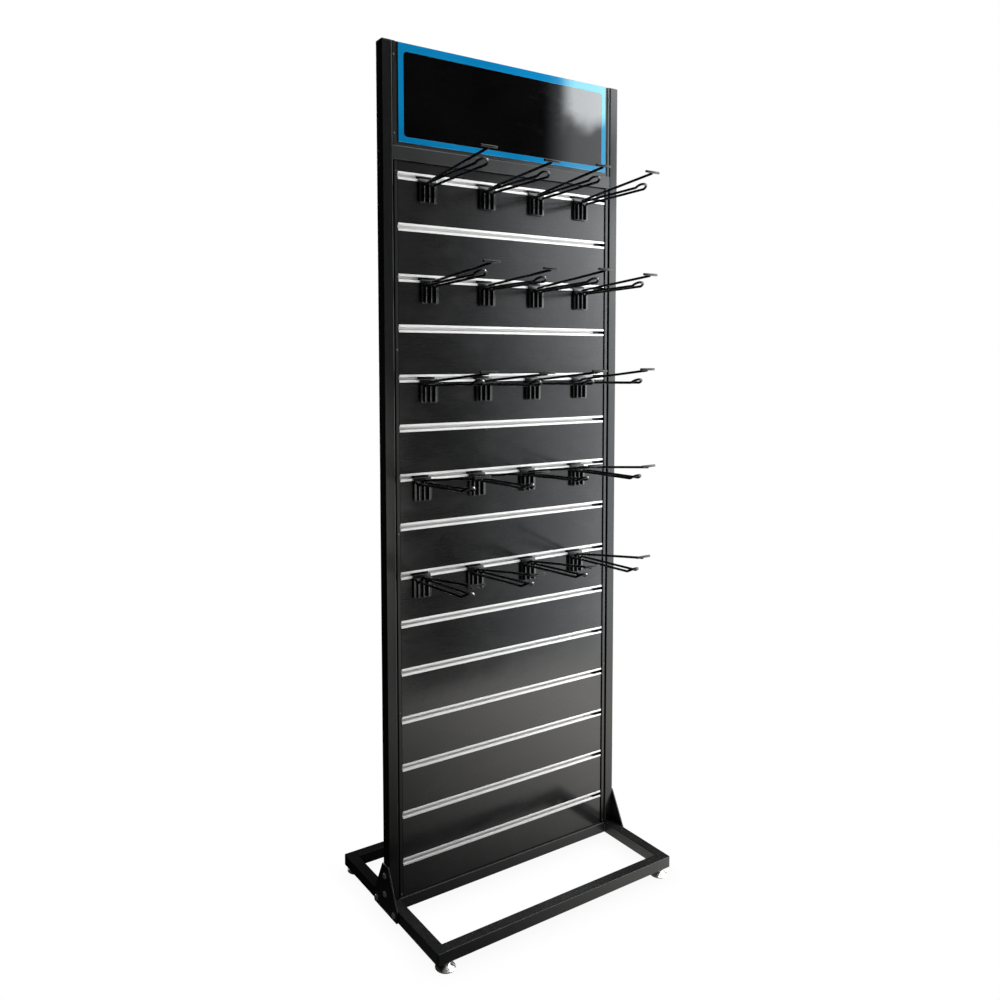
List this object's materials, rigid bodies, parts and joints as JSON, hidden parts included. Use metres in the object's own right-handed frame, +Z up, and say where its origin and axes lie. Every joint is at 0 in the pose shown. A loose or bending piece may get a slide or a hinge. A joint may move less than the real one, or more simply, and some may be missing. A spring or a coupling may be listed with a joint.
{
  "type": "slatwall display stand",
  "caption": "Free-standing slatwall stand: levelled tube base, posts, black slotted board with aluminium inserts, sliding price-arm hooks and a lift-out header sign.",
  "frame": {"origin": "on the floor, in the middle of the whole footprint, hooks included, which is 11.5 mm in front of the posts' middle", "axes": "+X to the viewer's right when facing the board, -Y out of the board's slotted front, +Z up"},
  "size_m": [0.6166, 0.4441, 1.7685],
  "materials": {
    "base_tube": "satin black powder coat",
    "post_tube": "satin black powder coat",
    "channel": "satin black powder coat",
    "gusset": "satin black powder coat",
    "board": "satin black laminate",
    "slot_insert": "mill aluminium, bright",
    "levelling_foot": "bright nickel plate",
    "sign_backing": "black",
    "sign_border": "glossy blue print",
    "sign_face": "glossy black",
    "hook": "gloss black powder coat"
  },
  "bodies": {
    "stand": {"base_front_rail": "base_tube", "base_rear_rail": "base_tube", "base_left_rail": "base_tube", "base_right_rail": "base_tube", "base_cross_rail": "base_tube", "left_post": "post_tube", "right_post": "post_tube", "header_left_post": "post_tube", "header_right_post": "post_tube", "header_bottom_rail": "post_tube", "left_panel_channel": "channel", "right_panel_channel": "channel", "header_left_channel": "channel", "header_right_channel": "channel", "left_gusset_plate": "gusset", "right_gusset_plate": "gusset", "slatwall_board": "board", "slot_insert_01": "slot_insert", "slot_insert_02": "slot_insert", "slot_insert_03": "slot_insert", "slot_insert_04": "slot_insert", "slot_insert_05": "slot_insert", "slot_insert_06": "slot_insert", "slot_insert_07": "slot_insert", "slot_insert_08": "slot_insert", "slot_insert_09": "slot_insert", "slot_insert_10": "slot_insert", "slot_insert_11": "slot_insert", "slot_insert_12": "slot_insert", "slot_insert_13": "slot_insert", "slot_insert_14": "slot_insert", "slot_insert_15": "slot_insert"},
    "header_sign": {"sign_backing": "sign_backing", "sign_border": "sign_border", "sign_face": "sign_face"},
    "foot_front_left": {"levelling_foot_front_left": "levelling_foot"},
    "foot_front_right": {"levelling_foot_front_right": "levelling_foot"},
    "foot_rear_left": {"levelling_foot_rear_left": "levelling_foot"},
    "foot_rear_right": {"levelling_foot_rear_right": "levelling_foot"},
    "hook_1_1": {"hook_r1_1": "hook"},
    "hook_1_2": {"hook_r1_2": "hook"},
    "hook_1_3": {"hook_r1_3": "hook"},
    "hook_1_4": {"hook_r1_4": "hook"},
    "hook_2_1": {"hook_r2_1": "hook"},
    "hook_2_2": {"hook_r2_2": "hook"},
    "hook_2_3": {"hook_r2_3": "hook"},
    "hook_2_4": {"hook_r2_4": "hook"},
    "hook_3_1": {"hook_r3_1": "hook"},
    "hook_3_2": {"hook_r3_2": "hook"},
    "hook_3_3": {"hook_r3_3": "hook"},
    "hook_3_4": {"hook_r3_4": "hook"},
    "hook_4_1": {"hook_r4_1": "hook"},
    "hook_4_2": {"hook_r4_2": "hook"},
    "hook_4_3": {"hook_r4_3": "hook"},
    "hook_4_4": {"hook_r4_4": "hook"},
    "hook_5_1": {"hook_r5_1": "hook"},
    "hook_5_2": {"hook_r5_2": "hook"},
    "hook_5_3": {"hook_r5_3": "hook"},
    "hook_5_4": {"hook_r5_4": "hook"}
  },
  "joints": [
    {"name": "foot_front_left_screw", "type": "slide", "parent": "stand", "child": "foot_front_left", "axis": [0, 0, 1], "range_m": [-0.01, 0]},
    {"name": "foot_front_right_screw", "type": "slide", "parent": "stand", "child": "foot_front_right", "axis": [0, 0, 1], "range_m": [-0.01, 0]},
    {"name": "foot_rear_left_screw", "type": "slide", "parent": "stand", "child": "foot_rear_left", "axis": [0, 0, 1], "range_m": [-0.01, 0]},
    {"name": "foot_rear_right_screw", "type": "slide", "parent": "stand", "child": "foot_rear_right", "axis": [0, 0, 1], "range_m": [-0.01, 0]},
    {"name": "header_sign_lift", "type": "slide", "parent": "stand", "child": "header_sign", "axis": [0, 0, 1], "range_m": [0, 0.19]},
    {"name": "hook_1_1_slide", "type": "slide", "parent": "stand", "child": "hook_1_1", "axis": [1, 0, 0], "range_m": [-0.045, 0.049]},
    {"name": "hook_1_2_slide", "type": "slide", "parent": "stand", "child": "hook_1_2", "axis": [1, 0, 0], "range_m": [-0.049, 0.041]},
    {"name": "hook_1_3_slide", "type": "slide", "parent": "stand", "child": "hook_1_3", "axis": [1, 0, 0], "range_m": [-0.041, 0.04]},
    {"name": "hook_1_4_slide", "type": "slide", "parent": "stand", "child": "hook_1_4", "axis": [1, 0, 0], "range_m": [-0.04, 0.05]},
    {"name": "hook_2_1_slide", "type": "slide", "parent": "stand", "child": "hook_2_1", "axis": [1, 0, 0], "range_m": [-0.048, 0.047]},
    {"name": "hook_2_2_slide", "type": "slide", "parent": "stand", "child": "hook_2_2", "axis": [1, 0, 0], "range_m": [-0.047, 0.043]},
    {"name": "hook_2_3_slide", "type": "slide", "parent": "stand", "child": "hook_2_3", "axis": [1, 0, 0], "range_m": [-0.043, 0.04]},
    {"name": "hook_2_4_slide", "type": "slide", "parent": "stand", "child": "hook_2_4", "axis": [1, 0, 0], "range_m": [-0.04, 0.05]},
    {"name": "hook_3_1_slide", "type": "slide", "parent": "stand", "child": "hook_3_1", "axis": [1, 0, 0], "range_m": [-0.045, 0.044]},
    {"name": "hook_3_2_slide", "type": "slide", "parent": "stand", "child": "hook_3_2", "axis": [1, 0, 0], "range_m": [-0.044, 0.043]},
    {"name": "hook_3_3_slide", "type": "slide", "parent": "stand", "child": "hook_3_3", "axis": [1, 0, 0], "range_m": [-0.043, 0.043]},
    {"name": "hook_3_4_slide", "type": "slide", "parent": "stand", "child": "hook_3_4", "axis": [1, 0, 0], "range_m": [-0.043, 0.05]},
    {"name": "hook_4_1_slide", "type": "slide", "parent": "stand", "child": "hook_4_1", "axis": [1, 0, 0], "range_m": [-0.029, 0.045]},
    {"name": "hook_4_2_slide", "type": "slide", "parent": "stand", "child": "hook_4_2", "axis": [1, 0, 0], "range_m": [-0.045, 0.044]},
    {"name": "hook_4_3_slide", "type": "slide", "parent": "stand", "child": "hook_4_3", "axis": [1, 0, 0], "range_m": [-0.044, 0.048]},
    {"name": "hook_4_4_slide", "type": "slide", "parent": "stand", "child": "hook_4_4", "axis": [1, 0, 0], "range_m": [-0.048, 0.05]},
    {"name": "hook_5_1_slide", "type": "slide", "parent": "stand", "child": "hook_5_1", "axis": [1, 0, 0], "range_m": [-0.026, 0.043]},
    {"name": "hook_5_2_slide", "type": "slide", "parent": "stand", "child": "hook_5_2", "axis": [1, 0, 0], "range_m": [-0.043, 0.045]},
    {"name": "hook_5_3_slide", "type": "slide", "parent": "stand", "child": "hook_5_3", "axis": [1, 0, 0], "range_m": [-0.045, 0.046]},
    {"name": "hook_5_4_slide", "type": "slide", "parent": "stand", "child": "hook_5_4", "axis": [1, 0, 0], "range_m": [-0.046, 0.05]}
  ]
}
